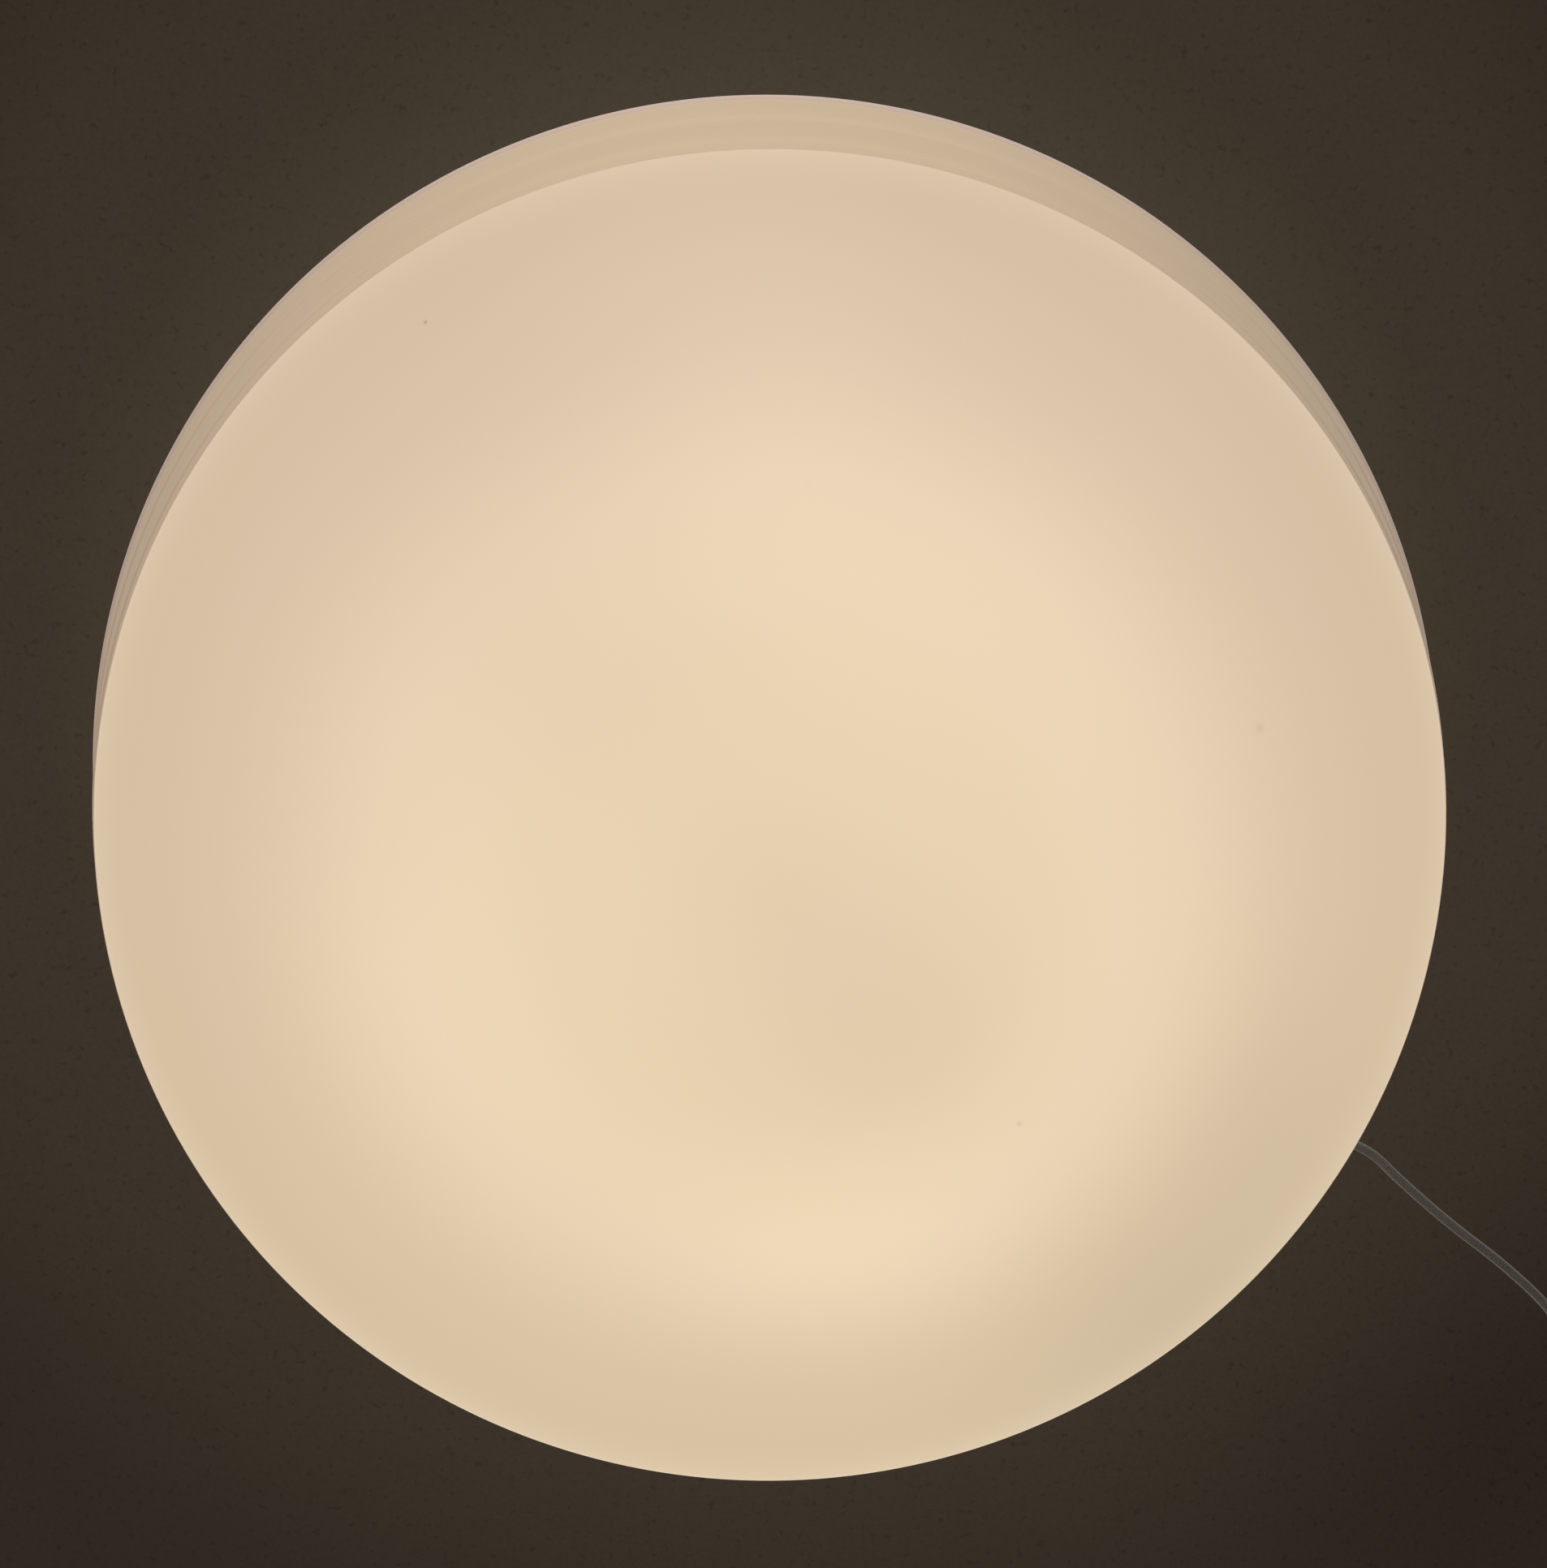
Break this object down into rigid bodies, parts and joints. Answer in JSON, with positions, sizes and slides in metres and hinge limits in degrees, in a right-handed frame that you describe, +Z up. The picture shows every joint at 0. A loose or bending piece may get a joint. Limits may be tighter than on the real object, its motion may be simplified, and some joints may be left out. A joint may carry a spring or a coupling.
{
  "type": "pendant light",
  "caption": "Closed opal glass drum pendant with a domed face, hung by its own white flex that runs along the ceiling to a rose.",
  "frame": {"origin": "centre of the suspension base's ceiling face", "axes": "+Z up along the hanging flex, +X along the line of the suspension base's two screw holes, the rose lies towards +X +Y"},
  "size_m": [0.7618, 0.6758, 0.526],
  "materials": {
    "opal_glass": "opal",
    "white_enamel": "satin",
    "zinc": "satin",
    "nickel": "polished",
    "spring_steel": "satin",
    "brass": "satin",
    "white_nylon": "matte",
    "white_thermoplastic": "semi-gloss",
    "white_pvc": "satin",
    "porcelain": "glazed",
    "silicone": "matte",
    "core_brown": "satin",
    "core_blue": "satin",
    "core_green": "satin",
    "bulb_globe": "opal",
    "bulb_skirt": "satin",
    "bulb_cap": "satin"
  },
  "bodies": {
    "ceiling_fittings": {"suspension_base": "zinc", "suspension_cup": "white_enamel", "cup_screws": "nickel", "exit_grip": "white_nylon", "exit_grip_screw": "white_nylon", "exit_grip_nut": "zinc", "flex_ceiling_run": "white_pvc", "flex_clips": "white_nylon", "clip_nails": "zinc", "rose_base": "white_nylon", "rose_terminal_block": "porcelain", "rose_terminal_screws": "brass", "rose_cord_clamp": "white_nylon", "rose_clamp_screws": "zinc", "rose_core_live": "core_brown", "rose_core_earth": "core_green", "rose_core_neutral": "core_blue"},
    "rose_cover": {"rose_cover": "white_thermoplastic"},
    "hanging_flex": {"drop_flex": "white_pvc"},
    "lamp": {"gallery_pan": "white_enamel", "neck_gasket": "silicone", "shade_springs": "spring_steel", "spring_rivets": "zinc", "top_cap": "white_enamel", "stem_tube": "zinc", "stem_washers": "zinc", "stem_nuts": "zinc", "lamp_cord_grip": "white_nylon", "lamp_grip_screw": "white_nylon", "flex_tail": "white_pvc", "cluster_hub": "zinc", "hub_cover": "zinc", "hub_cover_screw": "zinc", "terminal_block": "porcelain", "hub_cores_live": "core_brown", "hub_cores_neutral": "core_blue", "hub_core_earth": "core_green", "earth_screw": "brass", "lampholder_1": "white_thermoplastic", "lampholder_2": "white_thermoplastic", "lampholder_3": "white_thermoplastic", "holder_sleeves": "brass", "holder_contacts": "brass", "holder_nipples": "zinc", "holder_nuts": "zinc"},
    "shade": {"opal_shade": "opal_glass"},
    "bulb_1": {"bulb_1_cap": "bulb_cap", "bulb_1_skirt": "bulb_skirt", "bulb_1_globe": "bulb_globe"},
    "bulb_2": {"bulb_2_cap": "bulb_cap", "bulb_2_skirt": "bulb_skirt", "bulb_2_globe": "bulb_globe"},
    "bulb_3": {"bulb_3_cap": "bulb_cap", "bulb_3_skirt": "bulb_skirt", "bulb_3_globe": "bulb_globe"}
  },
  "joints": [
    {"name": "flex_swing", "type": "hinge", "parent": "ceiling_fittings", "child": "hanging_flex", "pos_m": [0, 0, -0.068], "axis": [1, 0, 0], "range_deg": [-20, 20]},
    {"name": "lamp_tilt", "type": "hinge", "parent": "hanging_flex", "child": "lamp", "pos_m": [0, 0, -0.258], "axis": [0, 1, 0], "range_deg": [-15, 15]},
    {"name": "shade_drop", "type": "slide", "parent": "lamp", "child": "shade", "axis": [0, 0, -1], "range_m": [0, 0.2], "deforming": ["shade_springs"]},
    {"name": "rose_cover_drop", "type": "slide", "parent": "ceiling_fittings", "child": "rose_cover", "axis": [0, 0, -1], "range_m": [0, 0.06]},
    {"name": "bulb_1_unscrew", "type": "slide", "parent": "lamp", "child": "bulb_1", "axis": [0.309, 0.9511, 0], "range_m": [0, 0.034]},
    {"name": "bulb_2_unscrew", "type": "slide", "parent": "lamp", "child": "bulb_2", "axis": [-0.9781, -0.2079, 0], "range_m": [0, 0.034]},
    {"name": "bulb_3_unscrew", "type": "slide", "parent": "lamp", "child": "bulb_3", "axis": [0.6691, -0.7431, 0], "range_m": [0, 0.034]}
  ]
}
